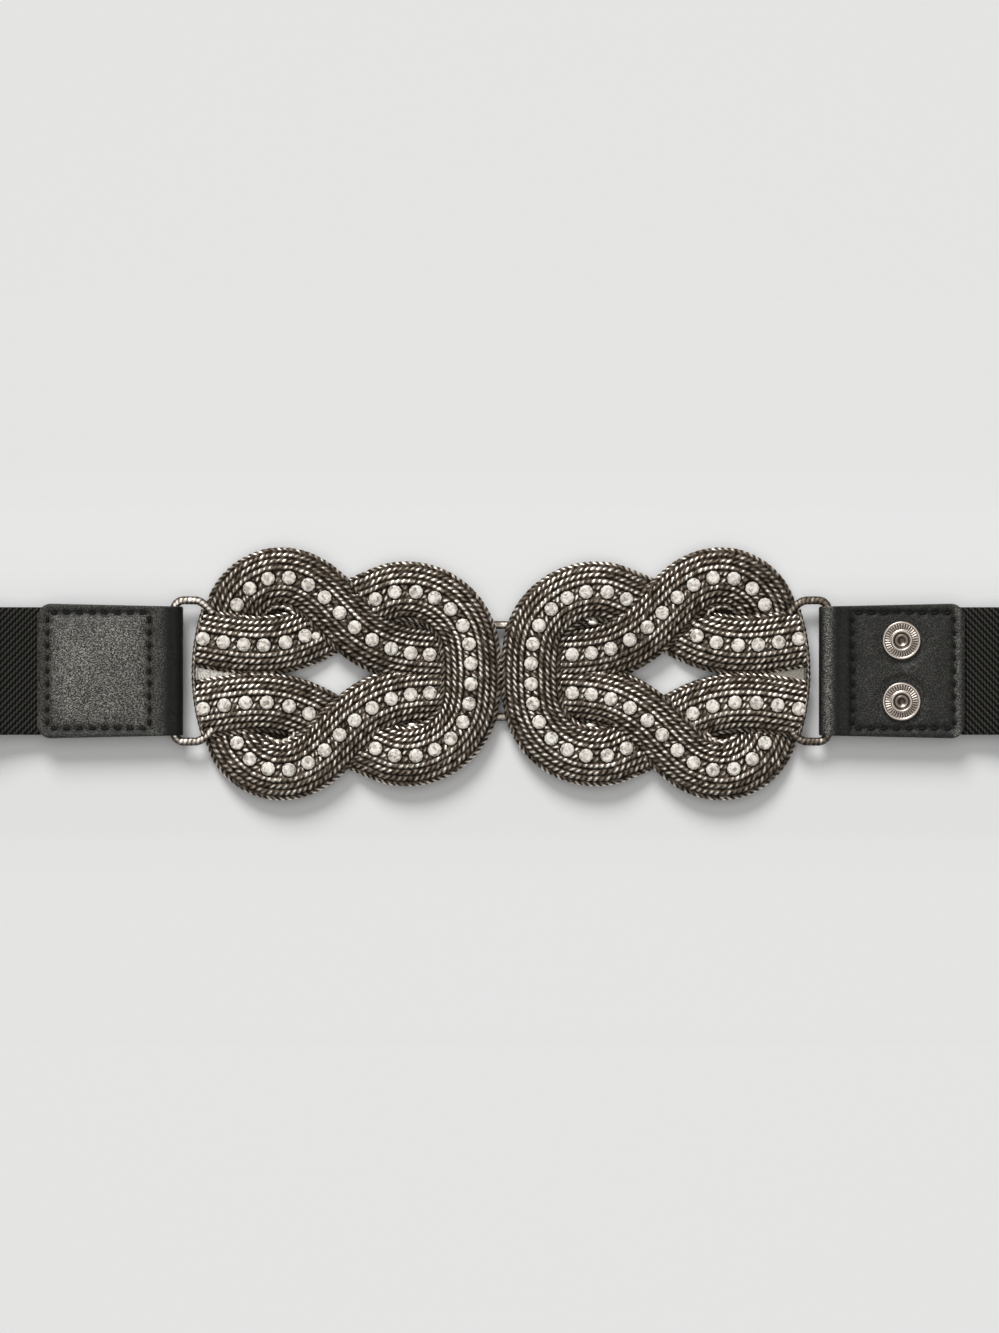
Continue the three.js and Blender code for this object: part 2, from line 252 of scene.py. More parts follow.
def shell(name, spots, material, sharp, relief=None, uv=None):
    """A closed surface from a grid whose points, in millimetres, are spots[row, column].

    Rows or columns that meet are merged and open ends are filled. Edges past the sharp angle
    are not smoothed.
    """
    rows, columns = spots.shape[0] - 1, spots.shape[1] - 1
    bm = bmesh.new()
    bmesh.ops.create_grid(bm, x_segments=columns, y_segments=rows, size=0.5)
    relief_layer = bm.verts.layers.float.new("relief")
    place = {v: (round((v.co.y + 0.5) * rows), round((v.co.x + 0.5) * columns)) for v in bm.verts}
    for vert, spot in place.items():
        vert.co = spots[spot] * MM
        vert[relief_layer] = 1.0 if relief is None else relief[spot]
    if uv is not None:
        uv_layer = bm.loops.layers.uv.new("flat_cloth")
        for face in bm.faces:
            for loop in face.loops:
                loop[uv_layer].uv = uv[place[loop.vert]] * MM
    bmesh.ops.remove_doubles(bm, verts=bm.verts, dist=1e-6)
    bmesh.ops.holes_fill(bm, edges=[e for e in bm.edges if e.is_boundary], sides=0)
    bmesh.ops.recalc_face_normals(bm, faces=bm.faces)
    piece = show(bm, name, material)
    piece.data.shade_smooth()
    piece.data.set_sharp_from_angle(angle=math.radians(sharp))
    return piece


# Woven polyester over rubber: dull near-black threads, whose twill ribs catch a little light
webbing, webbing_tree, webbing_shader = new_material("woven_elastic")
cloth_uv = add(webbing_tree, "ShaderNodeUVMap", uv_map="flat_cloth")
twill_turns = 2 * math.pi / TWILL_PITCH
twill = add(webbing_tree, "ShaderNodeVectorMath", {
    0: cloth_uv.outputs[0], 1: (twill_turns, -twill_turns, 0)}, operation="DOT_PRODUCT")
twill_rib = add(webbing_tree, "ShaderNodeMath", {0: twill.outputs["Value"]}, operation="SINE")
thread_turns = 2 * math.pi / THREAD_PITCH
thread = add(webbing_tree, "ShaderNodeVectorMath", {
    0: cloth_uv.outputs[0], 1: (thread_turns, 0, 0)}, operation="DOT_PRODUCT")
thread_bead = add(webbing_tree, "ShaderNodeMath", {0: thread.outputs["Value"]}, operation="SINE")
fuzz = add(webbing_tree, "ShaderNodeTexNoise", {
    "Vector": cloth_uv.outputs[0], "Scale": FUZZ_PER_MM / MM, "Detail": 3.0})
rib_height = add(webbing_tree, "ShaderNodeMapRange", {
    "Value": twill_rib.outputs[0], "From Min": -1.0, "From Max": 1.0})
bead_height = add(webbing_tree, "ShaderNodeMath", {
    0: thread_bead.outputs[0], 1: THREAD_RELIEF, 2: rib_height.outputs[0]}, operation="MULTIPLY_ADD")
cloth_height = add(webbing_tree, "ShaderNodeMath", {
    0: fuzz.outputs[0], 1: FUZZ_RELIEF, 2: bead_height.outputs[0]}, operation="MULTIPLY_ADD")
lit_rib = add(webbing_tree, "ShaderNodeMapRange", {
    "Value": cloth_height.outputs[0], "From Min": 0.45, "From Max": 1.25})
cloth_colour = add(webbing_tree, "ShaderNodeMix", {
    0: lit_rib.outputs[0], COLOUR_A: linear("#030302"), COLOUR_B: linear("#3f3e39")}, data_type="RGBA")
cloth_bump = add(webbing_tree, "ShaderNodeBump", {
    "Height": cloth_height.outputs[0], "Strength": 0.9, "Distance": TWILL_DEPTH})
webbing_tree.links.new(cloth_colour.outputs[MIXED_COLOUR], webbing_shader.inputs["Base Color"])
webbing_tree.links.new(cloth_bump.outputs[0], webbing_shader.inputs["Normal"])
webbing_shader.inputs["Roughness"].default_value = 0.8
webbing_shader.inputs["Specular IOR Level"].default_value = 0.12
webbing_shader.inputs["Sheen Weight"].default_value = 0.04

fold_x = ELASTIC_REACH - FOLD_RADIUS - ELASTIC_THICK / 2
back_z = ELASTIC_THICK / 2
fold_z = back_z + FOLD_RADIUS
fold_top = (fold_x, fold_z + FOLD_RADIUS)
right_half = [
    *evenly((ELASTIC_END, MID_Z), (TAB_END, MID_Z), spacing=5),
    (TAB_END, MID_Z),
    *rise((TAB_END, MID_Z), fold_top, steps=20),
    *arc(fold_x, fold_z, FOLD_RADIUS, 90, -90, steps=24),
]
left_half = [(-x, z) for x, z in reversed(right_half)]
back_run = evenly(right_half[-1], left_half[0], spacing=6)[1:]
elastic_line = [*right_half, *back_run, *left_half]
elastic_section = strip_section(ELASTIC_WIDTH, ELASTIC_THICK, spacing=2.4, rounding=WEB_EDGE_ROUNDING)
elastic_spots = sweep_strip(elastic_line, elastic_section)
elastic_length = along_route(elastic_line)
cloth_grid = np.zeros((*elastic_spots.shape[:2], 2))
cloth_grid[:, :, 0] = np.abs(elastic_length - elastic_length[-1] / 2)[:, None]
cloth_grid[:, :, 1] = elastic_spots[:, :, 1]
elastic = shell("elastic_webbing_band", elastic_spots, webbing, sharp=50, uv=cloth_grid)
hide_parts("elastic_band")
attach(elastic, "root")


# Leather tabs
# A strip of black leather folded round the bar of each ring and stitched down over the end of
# the elastic. The left one is padded inside its square of stitches, the right one lies flatter.
LEATHER = 1.2
GLUE_LINE = 0.3
BAR_X = 98.2
BAR_FOLD_RADIUS = 2.2
FOLD_RISE = 6
LEAF_OFFSET = ELASTIC_THICK / 2 + GLUE_LINE + LEATHER / 2
TAB_WIDTH = 40.4
TAB_FOLD_WIDTH = 38.8
TAB_CORNER = 4.0
SEAM_X = (105.4, 135.9)
SEAM_Y = 17.3
FOLD_RIDGE_X = 98.0
FOLD_RIDGE_HALF = 1.4
SNAP_X = 120
SNAP_Y = 9.15
SNAP_BED = (6.0, 8.5)
SEAM_STITCHES = {"along": 8, "across": 9}
SEAM_DEPTH = 0.6
SEAM_GROOVE = 0.95
RIM_MIDDLE = 1.7
RIM_HALF = 1.3
RIM_HEIGHT = 0.4
GRAIN_SIZE = 0.42 * MM
GRAIN_SLANT = 35
GRAIN_STRETCH = 1.6
GRAIN_DEPTH = 0.2 * MM
PORES_PER_MM = 2.2
CLOUDS_PER_MM = 0.11
# Width of the painted shade in the seam's groove, and of the lighter strip just beyond the seam's end
SEAM_MARK_WIDTH = 0.9
PAD_EASE = 15
PAD_ROUNDNESS = 2.4
# Reach of the painted sheen that lightens the padded square towards its crown
CROWN_EASE = 8
# Between these two places the flat strip darkens towards the fold, as painted shade
STRIP_START = 99.5
STRIP_END = 103.0
POUCHES = {"left": 2.4, "right": 0.9}
WEAR_AND_SHEEN = {
    # how light the grain's tops are drawn, rubbed grey and painted sheen: padded square, end rim, side
    # rims, flat strip, and fold ridge, a painted highlight on the right and painted shade on the left
    "left": (1.75, 0.8, 0.55, 0.75, 0.0),
    "right": (0.38, 1.5, 0.25, 0.12, 1.6),
}


def tab_line():
    """Lower leaf, fold round the bar, upper leaf, as (x, z) points."""
    settled = BAR_X + FOLD_RISE
    low, high = MID_Z - LEAF_OFFSET, MID_Z + LEAF_OFFSET
    round_corner = np.radians(range(90, -1, -10))
    corner_xs = [TAB_END - TAB_CORNER * (1 - math.cos(a)) for a in round_corner]
    return [
        *[(x, low) for x in reversed(corner_xs)],
        *evenly((TAB_END - TAB_CORNER, low), (settled, low), spacing=3)[1:],
        *rise((settled, low), (BAR_X, MID_Z - BAR_FOLD_RADIUS), steps=8),
        *arc(BAR_X, MID_Z, BAR_FOLD_RADIUS, 270, 90, steps=16),
        *rise((BAR_X, MID_Z + BAR_FOLD_RADIUS), (settled, high), steps=8),
        *evenly((settled, high), (TAB_END - TAB_CORNER, high), spacing=0.4),
        *[(x, high) for x in corner_xs],
    ]


def tab_half_width(x):
    """Half the tab's width: it tapers to the fold, and its two free corners are round."""
    taper = np.interp(x, [BAR_X, TAB_END - TAB_CORNER], [TAB_FOLD_WIDTH / 2, TAB_WIDTH / 2])
    into_corner = np.clip((x - (TAB_END - TAB_CORNER)) / TAB_CORNER, 0, 1)
    return taper - TAB_CORNER * (1 - np.sqrt(1 - into_corner ** 2))


def seam_pull(x, y):
    """Distance inside the seam, and how near a stitch is, from 0 between two to 1 at one."""
    from_ends = np.minimum(x - SEAM_X[0], SEAM_X[1] - x)
    from_sides = SEAM_Y - np.abs(y)
    along = (x - SEAM_X[0]) / (SEAM_X[1] - SEAM_X[0]) * SEAM_STITCHES["along"]
    across = (y + SEAM_Y) / (2 * SEAM_Y) * SEAM_STITCHES["across"]
    count = np.where(from_ends < from_sides, across, along)
    return from_ends, from_sides, 0.5 - 0.5 * np.cos(2 * np.pi * count)


def crowned(from_ends, from_sides, ease, roundness):
    """Share of a pad's full height: 0 at its seam, and 1 from this distance inside it."""
    shares = [np.clip(distance / ease, 0, 1) for distance in (from_ends, from_sides)]
    return np.prod([1 - (1 - share) ** roundness for share in shares], axis=0)


def padding(x, y, swell, snaps):
    """How far the upper leaf stands out over its flat face, and how far it is pressed down."""
    from_ends, from_sides, pull = seam_pull(x, y)
    inside = np.minimum(from_ends, from_sides)
    pillow = swell * crowned(from_ends, from_sides, PAD_EASE, PAD_ROUNDNESS)
    groove = -SEAM_DEPTH * (0.5 + 0.5 * pull) * np.exp(-(inside / SEAM_GROOVE) ** 2)
    bulge = np.clip(1 - ((inside + RIM_MIDDLE) / RIM_HALF) ** 2, 0, 1) ** 0.7
    height = pillow + RIM_HEIGHT * bulge * (inside < 0) + groove
    if snaps:
        for snap_y in (SNAP_Y, -SNAP_Y):
            reach = np.hypot(x - SNAP_X, y - snap_y)
            share = np.clip((reach - SNAP_BED[0]) / (SNAP_BED[1] - SNAP_BED[0]), 0, 1)
            height = height * share ** 2
    return height


def wear_and_sheen(x, y, padded, end_rim, side_rim, strip, ridge):
    """How light the leaf's grain is drawn: rubbed grey, with painted sheen, and painted shade by the seam
    and fold.
    """
    from_ends, from_sides, pull = seam_pull(x, y)
    inside = np.minimum(from_ends, from_sides)
    by_end = np.exp(-((x - SEAM_X[1] - SEAM_MARK_WIDTH) / SEAM_MARK_WIDTH) ** 2)
    # painted shade: the flat strip darkens towards the fold
    by_seam = np.clip((x - STRIP_START) / (STRIP_END - STRIP_START), 0, 1)
    outside = np.where(x < SEAM_X[0], strip * by_seam, side_rim + (end_rim - side_rim) * by_end)
    # painted sheen: the padded square is lighter towards its crown
    crown = crowned(from_ends, from_sides, CROWN_EASE, 2)
    share = np.where(inside > 0, padded * (0.55 + 0.5 * crown), outside)
    # painted shade in the seam's groove, darkest at each stitch
    share = share * (1 - (0.3 + 0.7 * pull) * np.exp(-(inside / SEAM_MARK_WIDTH) ** 2))
    # painted highlight or painted shade along the fold's ridge, as the ridge value gives
    by_ridge = np.exp(-((x - FOLD_RIDGE_X) / FOLD_RIDGE_HALF) ** 2)
    return share + (ridge - share) * by_ridge


# Drum-dyed cowhide: fine pebbled grain whose tops are drawn lighter, partly rubbed grey and partly painted
# sheen, with painted shade by the seam and towards the fold
hide, hide_tree, hide_shader = new_material("black_grained_leather")
hide_spot = add(hide_tree, "ShaderNodeTexCoord")
slanted = add(hide_tree, "ShaderNodeMapping", {
    "Vector": hide_spot.outputs["Object"], "Rotation": (0, 0, math.radians(GRAIN_SLANT)),
    "Scale": (1.0, GRAIN_STRETCH, 1.0)})
pebbles = add(hide_tree, "ShaderNodeTexNoise", {
    "Vector": slanted.outputs[0], "Scale": 1 / GRAIN_SIZE, "Detail": 2.0, "Distortion": 0.6})
pores = add(hide_tree, "ShaderNodeTexNoise", {
    "Vector": hide_spot.outputs["Object"], "Scale": PORES_PER_MM / MM, "Detail": 3.0})
cloudy = add(hide_tree, "ShaderNodeTexNoise", {
    "Vector": hide_spot.outputs["Object"], "Scale": CLOUDS_PER_MM / MM, "Detail": 3.0})
# The leaf's relief value: rubbed grey grain with painted sheen and painted shade
wear_and_sheen_mark = add(hide_tree, "ShaderNodeAttribute", attribute_name="relief")
pebble_top = add(hide_tree, "ShaderNodeMapRange", {
    "Value": pebbles.outputs[0], "From Min": 0.46, "From Max": 0.56})
hide_height = add(hide_tree, "ShaderNodeMath", {
    0: pores.outputs[0], 1: 0.15, 2: pebble_top.outputs[0]}, operation="MULTIPLY_ADD")
rubbed_and_lit_top = add(hide_tree, "ShaderNodeMath", {
    0: hide_height.outputs[0], 1: wear_and_sheen_mark.outputs["Fac"]}, operation="MULTIPLY")
patches = add(hide_tree, "ShaderNodeMapRange", {
    "Value": cloudy.outputs[0], "From Min": 0.3, "From Max": 0.7, "To Min": 0.42, "To Max": 0.62})
patchy_top = add(hide_tree, "ShaderNodeMath", {
    0: rubbed_and_lit_top.outputs[0], 1: patches.outputs[0]}, operation="MULTIPLY")
hide_colour = add(hide_tree, "ShaderNodeMix", {
    0: patchy_top.outputs[0], COLOUR_A: linear("#11110f"), COLOUR_B: linear("#a09e96")}, data_type="RGBA")
hide_bump = add(hide_tree, "ShaderNodeBump", {
    "Height": hide_height.outputs[0], "Strength": 1.0, "Distance": GRAIN_DEPTH})
hide_tree.links.new(hide_colour.outputs[MIXED_COLOUR], hide_shader.inputs["Base Color"])
hide_tree.links.new(hide_bump.outputs[0], hide_shader.inputs["Normal"])
hide_shader.inputs["Roughness"].default_value = 0.48
hide_shader.inputs["Specular IOR Level"].default_value = 0.3

leather_line = tab_line()
leather_section = strip_section(TAB_WIDTH, LEATHER, spacing=0.4, rounding=0.6)
for side_name, swell in POUCHES.items():
    side = 1 if side_name == "right" else -1
    spots = sweep_strip(leather_line, leather_section)
    spots[:, :, 1] *= tab_half_width(spots[:, :, 0]) / (TAB_WIDTH / 2)
    xs, ys = spots[:, :, 0].copy(), spots[:, :, 1]
    on_face = spots[:, :, 2] > MID_Z + LEAF_OFFSET + 0.1
    # Rubbed grain, painted sheen and painted shade, on the upper face only
    wear_and_sheen_share = wear_and_sheen(xs, ys, *WEAR_AND_SHEEN[side_name]) * on_face
    spots[:, :, 2] += padding(xs, ys, swell, side > 0) * on_face * (xs > BAR_X)
    spots[:, :, 0] *= side
    tab = shell(f"{side_name}_leather_tab", spots, hide, sharp=50, relief=wear_and_sheen_share)
    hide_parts(f"{side_name}_tab")
    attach(tab, "root")


# Stitches
# Waxed black thread in a lock stitch round each square, pulled down into the groove that it
# makes. Each stitch is one short thread, a little slanted to the line of the seam.
STITCH_LENGTH = 2.4
STITCH_RADIUS = 0.5
STITCH_FLATNESS = 0.8
STITCH_SLANT = 7
STITCH_LIFT = 0.1
TWISTS_PER_MM = 1.5

# Waxed thread: black with a dull shine
thread_wax, thread_tree, thread_shader = new_material("waxed_thread")
thread_spot = add(thread_tree, "ShaderNodeTexCoord")
thread_twist = add(thread_tree, "ShaderNodeTexNoise", {
    "Vector": thread_spot.outputs["Object"], "Scale": TWISTS_PER_MM / MM})
thread_colour = add(thread_tree, "ShaderNodeMix", {
    0: thread_twist.outputs[0], COLOUR_A: linear("#040403"), COLOUR_B: linear("#141412")}, data_type="RGBA")
thread_tree.links.new(thread_colour.outputs[MIXED_COLOUR], thread_shader.inputs["Base Color"])
thread_shader.inputs["Roughness"].default_value = 0.6
thread_shader.inputs["Specular IOR Level"].default_value = 0.2

for side_name, side in (("left", -1), ("right", 1)):
    bm = bmesh.new()
    corners = [(SEAM_X[0], -SEAM_Y), (SEAM_X[1], -SEAM_Y), (SEAM_X[1], SEAM_Y), (SEAM_X[0], SEAM_Y)]
    for start, end in zip(corners, corners[1:] + corners[:1]):
        count = SEAM_STITCHES["along" if start[1] == end[1] else "across"]
        for i in range(count):
            x, y = np.add(start, np.subtract(end, start) * (i + 0.5) / count)
            slant = math.atan2(end[1] - start[1], end[0] - start[0]) + math.radians(STITCH_SLANT)
            height = MID_Z + LEAF_OFFSET + LEATHER / 2 - SEAM_DEPTH + STITCH_LIFT
            place = Matrix.Translation(Vector((side * x, y, height)) * MM)
            turn = Matrix.Rotation(side * slant, 4, "Z")
            halves = (STITCH_LENGTH / 2, STITCH_RADIUS, STITCH_RADIUS * STITCH_FLATNESS)
            size = Matrix.Diagonal((*[half * MM for half in halves], 1))
            bmesh.ops.create_uvsphere(bm, u_segments=8, v_segments=6, radius=1,
                                      matrix=place @ turn @ size)
    bmesh.ops.recalc_face_normals(bm, faces=bm.faces)
    stitches = show(bm, f"{side_name}_tab_stitches", thread_wax)
    stitches.data.shade_smooth()
    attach(stitches, "root")


# Cast strands
# The buckle's two halves are cast in zinc alloy as flat bands of rope, tied in half a flat
# knot each, then plated, blackened and wiped, so that the rope's crests are bright and its
# grooves stay dark. A band is four ropes, a channel with two small ropes, and four ropes.
LOW_Z = 2.0
HIGH_Z = 5.0
BAND_HALF = 8.6
BAND_CREST = 3.3
BAND_FOOT = 0.25
BAND_FLANK = 87
FOOT_INSET = 0.2
CHANNEL_HALF = 2.0
CHANNEL_DIP = 0.5
CHANNEL_EASE = 0.3
ROPE_PROUD = 0.8
SMALL_ROPE_PROUD = 0.4
TURN_DEPTH = 0.45
TURN_STAGGER = 0.37
HALF_ROPES = [
    # turns across the rope, length of a turn, share of painted highlight kept all along its crest
    (-0.6, 1.9, 0.0),
    (0.5, 1.75, 0.0),
    (0.55, 1.85, 0.0),
    (0.4, 1.6, 0.35),
    (0.5, 1.6, 0.0),
]
ROPES = HALF_ROPES + HALF_ROPES[::-1]
WIPING = np.random.default_rng(5)
WIPING_RANGE = (0.4, 1.4)
STRAND_WIPED = {"outer": 1.1, "upper": 0.9, "lower": 0.97}
SMUDGES_PER_MM = 0.8
SEAT_RADIUS = 2.35
SEAT_FLOOR = 3.05
ROW_SPACING = 0.28
ROPE_STEPS = 8
SPAN_STEPS = 24
KNOT_DROP = 0.85
LOOP_ARC = {"x": 28.5, "y": 5.5, "radius": 19.3}

# Middle line of each strand in one half, x from the joint outwards and y from the middle
# line of the belt. Level 0 is the knot's low layer and 1 its high one.
ARM = [
    # x, y, level
    (91.0, 10.8, 1.0), (83.5, 9.5, 1.0), (77.0, 8.7, 1.0), (70.3, 8.6, 1.0),
    (64.0, 9.6, 0.7), (57.5, 12.0, 0.25), (51.5, 15.4, 0.0), (45.0, 19.2, 0.1),
]
LOOP_LEVELS = [(60, 0.6), (80, 0.95), (100, 1), (120, 1), (140, 1), (160, 1), (180, 1)]
CURLED = [
    (16.5, 5.6, 0.0), (22.0, 5.8, 0.0), (27.5, 6.3, 0.2), (33.4, 7.7, 0.55),
    (39.0, 10.4, 0.9), (44.2, 14.2, 1.0), (48.6, 18.5, 1.0), (53.0, 23.0, 1.0),
    (58.0, 26.8, 0.95), (63.5, 28.8, 0.95), (69.5, 28.6, 0.85), (75.0, 25.9, 0.65),
    (79.0, 21.2, 0.35), (80.7, 14.8, 0.0), (79.0, 9.0, 0.0),
]

# Rows of stones on the strands: strand, first and last stone, number of stones
STONE_ROWS = {
    "loop": ("outer", (37.2, 22.8), (37.2, -22.8), 16),
    "curl_upper": ("upper", (21.4, 5.8), (79.0, 21.2), 12),
    "curl_lower": ("lower", (21.4, -5.8), (79.0, -21.2), 12),
    "bar_upper": ("outer", (89.4, 10.3), (59.6, 11.3), 6),
    "bar_lower": ("outer", (58.3, -11.7), (89.4, -10.3), 6),
}


def strand_stations(strand):
    """The stations of the outer strand, or of the upper or lower curled one."""
    if strand == "outer":
        upper = list(ARM)
        for angle, level in LOOP_LEVELS:
            x = LOOP_ARC["x"] + LOOP_ARC["radius"] * math.cos(math.radians(angle))
            y = LOOP_ARC["y"] + LOOP_ARC["radius"] * math.sin(math.radians(angle))
            upper.append((x, y, level))
        return upper + [(x, -y, level) for x, y, level in reversed(upper)]
    sign = -1 if strand == "lower" else 1
    return [(x, sign * y, level) for x, y, level in CURLED]


def smooth_route(stations, spacing):
    """Evenly spaced points on a smooth curve through the stations."""
    points = [Vector(station) for station in stations]
    points = [2 * points[0] - points[1], *points, 2 * points[-1] - points[-2]]
    dense = []
    for p0, p1, p2, p3 in zip(points, points[1:], points[2:], points[3:]):
        t1 = (p1 - p0).length ** 0.5
        t2 = t1 + (p2 - p1).length ** 0.5
        t3 = t2 + (p3 - p2).length ** 0.5
        for i in range(SPAN_STEPS):
            t = t1 + (t2 - t1) * i / SPAN_STEPS
            a1 = p0.lerp(p1, t / t1)
            a2 = p1.lerp(p2, (t - t1) / (t2 - t1))
            a3 = p2.lerp(p3, (t - t2) / (t3 - t2))
            b1 = a1.lerp(a2, t / t2)
            b2 = a2.lerp(a3, (t - t1) / (t3 - t1))
            dense.append(b1.lerp(b2, (t - t1) / (t2 - t1)))
    dense.append(points[-2])
    route = np.array(dense)
    distance = along_route(route)
    even = np.linspace(0, distance[-1], round(distance[-1] / spacing) + 1)
    return np.stack([np.interp(even, distance, route[:, axis]) for axis in range(3)], axis=1)


def frames(route, closed=False):
    """Directions along and level across a route, and the one standing on it, at each point."""
    if closed:
        along = np.roll(route[:-1], -1, axis=0) - np.roll(route[:-1], 1, axis=0)
        along = np.concatenate([along, along[:1]])
    else:
        along = np.gradient(route, axis=0)
    along /= np.linalg.norm(along, axis=1)[:, None]
    across = np.cross(along, (0, 0, 1))
    across /= np.linalg.norm(across, axis=1)[:, None]
    return along, across, np.cross(across, along)


def strand_route(strand, side):
    """The strand's middle line in one half, which hangs a little low against the tabs."""
    stations = []
    for x, y, level in strand_stations(strand):
        stations.append((side * x, y - KNOT_DROP, LOW_Z + (HIGH_Z - LOW_Z) * level))
    return smooth_route(stations, ROW_SPACING)


def stone_places(row, side):
    """Row numbers on the strand's route where the stones of a row sit."""
    strand, first, last, count = STONE_ROWS[row]
    route = strand_route(strand, side)
    start, end = [np.argmin(np.hypot(route[:, 0] - side * x, route[:, 1] + KNOT_DROP - y))
                  for x, y in (first, last)]
    return strand, np.round(np.linspace(start, end, count)).astype(int)


def band_columns():
    """The band's section, column by column: across, height, their normal, rope and place in it."""
    turn = np.radians(np.linspace(-BAND_FLANK, BAND_FLANK, 700))
    across, height = BAND_HALF * np.sin(turn), BAND_CREST * np.cos(turn)
    distance = along_route(np.stack([across, height], axis=1))
    distance -= distance[-1] / 2
    pitch = (distance[-1] - CHANNEL_HALF) / 4
    edges = [CHANNEL_HALF + pitch * i for i in range(5)]
    edges = [-edge for edge in reversed(edges)] + [0] + edges
    columns = []
    for rope, (start, end) in enumerate(zip(edges, edges[1:])):
        for step in range(ROPE_STEPS):
            share = step / ROPE_STEPS
            columns.append((start + (end - start) * share, rope, 2 * share - 1))
    columns.append((edges[-1], len(edges) - 2, 1.0))
    places = np.array([column[0] for column in columns])
    angle = np.interp(places, distance, turn)
    slope = np.stack([np.sin(angle) / BAND_HALF, np.cos(angle) / BAND_CREST], axis=1)
    slope /= np.linalg.norm(slope, axis=1)[:, None]
    into_channel = (CHANNEL_HALF + CHANNEL_EASE - np.abs(places)) / (2 * CHANNEL_EASE)
    dip = CHANNEL_DIP * np.clip(into_channel, 0, 1)
    return {
        "across": BAND_HALF * np.sin(angle),
        "height": BAND_CREST * np.cos(angle) + BAND_FOOT - dip,
        "slope": slope,
        "rope": np.array([column[1] for column in columns]),
        "inside": np.array([column[2] for column in columns]),
    }


def rope_band(name, route, seats, wiped_and_lit, material):
    """One band of ropes along a route, bright on its crests, with a flat seat under each stone."""
    section = band_columns()
    along, across, stand = frames(route)
    rope_count = len(ROPES)
    twist, turn_length, crest_highlight = np.array(ROPES).T
    turns = np.zeros((len(route), rope_count))
    for rope in range(rope_count):
        middle = section["across"][section["rope"] == rope].mean()
        turns[:, rope] = along_route(route + across * middle) / turn_length[rope] + TURN_STAGGER * rope
    in_channel = np.isin(np.arange(rope_count), (rope_count // 2 - 1, rope_count // 2))
    proud = np.where(in_channel, SMALL_ROPE_PROUD, ROPE_PROUD)
    inside, rope_of = section["inside"], section["rope"]
    phase = turns[:, rope_of] + (twist[rope_of] * inside)[None, :]
    ply = np.abs(np.cos(math.pi * phase))
    roundness = np.sqrt(np.clip(1 - inside ** 2, 0, 1))[None, :]
    out = roundness * (1 - TURN_DEPTH + TURN_DEPTH * ply) * proud[rope_of][None, :]
    wiped_off = wiped_and_lit * WIPING.uniform(*WIPING_RANGE, (rope_count, int(turns.max()) + 6))
    turn_number = np.round(phase).astype(int) + 2
    # Blackening is wiped off the crests of the turns, and on two ropes a painted highlight runs all along
    # the crest
    crest = np.maximum(ply ** 3, crest_highlight[rope_of][None, :]) * wiped_off[rope_of[None, :], turn_number]
    lift = np.minimum(roundness ** 4 * crest + 0.06 * roundness, 1)
    wide = section["across"][None, :] + section["slope"][None, :, 0] * out
    high = section["height"][None, :] + section["slope"][None, :, 1] * out
    distance = along_route(route)
    nearest = np.abs(distance[:, None] - distance[seats][None, :]).min(axis=1)
    from_stone = np.hypot(nearest[:, None], wide)
    seated = from_stone < SEAT_RADIUS
    high = np.where(seated, SEAT_FLOOR, high)
    lift = np.where(seated, 0.0, lift)
    spots = route[:, None] + across[:, None] * wide[:, :, None] + stand[:, None] * high[:, :, None]
    foot = [route + across * (edge * (BAND_HALF - FOOT_INSET)) for edge in (-1, 1)]
    spots = np.concatenate([foot[0][:, None], spots, foot[1][:, None], foot[0][:, None]], axis=1)
    none = np.zeros((len(route), 1))
    lift = np.concatenate([none, lift, none, none], axis=1)
    return shell(name, spots, material, sharp=180, relief=lift)


# Antiqued silver plate: the blackening stays in the grooves and is wiped off the crests. The same relief
# value also carries painted highlights on wire tops and some rope crests, and painted shade on wire sides,
# bead undersides and eye webs
silver, silver_tree, silver_shader = new_material("antiqued_silver_plate")
wiped_and_lit = add(silver_tree, "ShaderNodeAttribute", attribute_name="relief")
silver_spot = add(silver_tree, "ShaderNodeTexCoord")
smudges = add(silver_tree, "ShaderNodeTexNoise", {
    "Vector": silver_spot.outputs["Object"], "Scale": SMUDGES_PER_MM / MM, "Detail": 4.0})
uneven = add(silver_tree, "ShaderNodeMath", {
    0: smudges.outputs[0], 1: 1.1, 2: -0.55}, operation="MULTIPLY_ADD")
wiping = add(silver_tree, "ShaderNodeMath", {
    0: wiped_and_lit.outputs["Fac"], 1: uneven.outputs[0]}, operation="ADD")
out_of_groove = add(silver_tree, "ShaderNodeMapRange", {
    "Value": wiping.outputs[0], "From Min": 0.0, "From Max": 0.4})
on_crest = add(silver_tree, "ShaderNodeMapRange", {
    "Value": wiping.outputs[0], "From Min": 0.44, "From Max": 0.78})
blackened = add(silver_tree, "ShaderNodeMix", {
    0: out_of_groove.outputs[0], COLOUR_A: linear("#2a231c"), COLOUR_B: linear("#7d7266")},
    data_type="RGBA")
silver_colour = add(silver_tree, "ShaderNodeMix", {
    0: on_crest.outputs[0], COLOUR_A: blackened.outputs[MIXED_COLOUR], COLOUR_B: linear("#f2ece2")},
    data_type="RGBA")
silver_gloss = add(silver_tree, "ShaderNodeMapRange", {
    "Value": wiping.outputs[0], "From Min": 0.3, "From Max": 0.9, "To Min": 0.6, "To Max": 0.28})
silver_tree.links.new(silver_colour.outputs[MIXED_COLOUR], silver_shader.inputs["Base Color"])
silver_tree.links.new(silver_gloss.outputs[0], silver_shader.inputs["Roughness"])
silver_shader.inputs["Metallic"].default_value = 1.0

